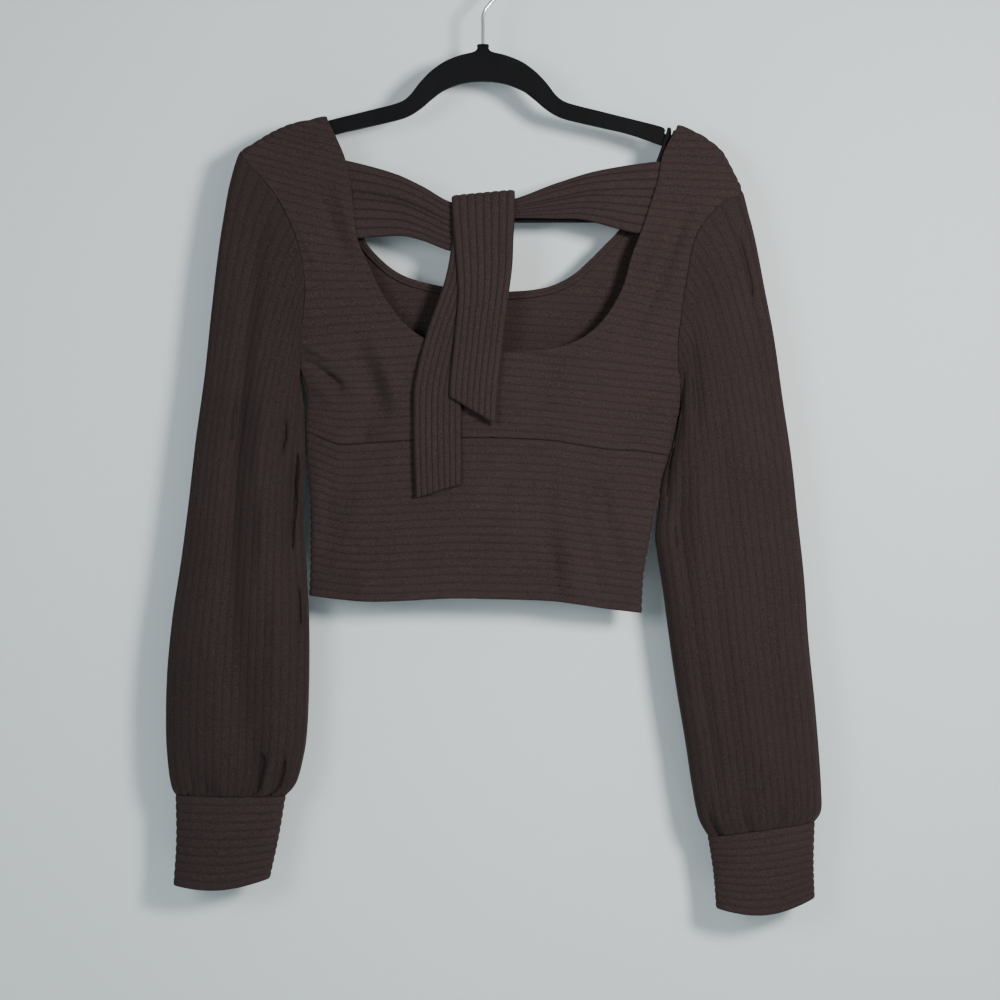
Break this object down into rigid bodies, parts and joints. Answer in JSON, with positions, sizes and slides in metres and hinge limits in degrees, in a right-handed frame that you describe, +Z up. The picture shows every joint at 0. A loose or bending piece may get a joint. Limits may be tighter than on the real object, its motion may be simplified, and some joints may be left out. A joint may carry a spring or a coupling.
{
  "type": "crop top on a clothes hanger",
  "caption": "Long-sleeved ottoman-rib crop top with a square neck and a tied band, hanging as flat as it hangs on a flocked hanger with a steel hook.",
  "frame": {"origin": "The inside of the top of the hanger's hook, where a rod carries it.", "axes": "+Z up, +X to the right of someone looking at the side with the tie, -Y towards that viewer; the garment hangs flat in the XZ plane."},
  "size_m": [0.6153, 0.0522, 0.8974],
  "materials": {
    "knit": "wide ottoman rib knit, matte, very dark brown",
    "flock": "black velvet flock on moulded plastic",
    "tape": "thin black woven tape",
    "steel": "bright plated steel wire"
  },
  "bodies": {
    "root": {"bodice_tie_side": "knit", "bodice_plain_side": "knit", "waist_tie_side": "knit", "waist_plain_side": "knit", "neck_facing_plain_side": "knit", "sleeve_left_tie_side": "knit", "sleeve_left_plain_side": "knit", "sleeve_right_tie_side": "knit", "sleeve_right_plain_side": "knit", "cuff_left": "knit", "cuff_right": "knit", "tie_band_left": "knit", "tie_band_right": "knit", "tie_tail_front": "knit", "tie_tail_rear": "knit", "hanger_body": "flock", "hanger_hook": "steel", "hanging_loop": "tape"}
  },
  "joints": []
}
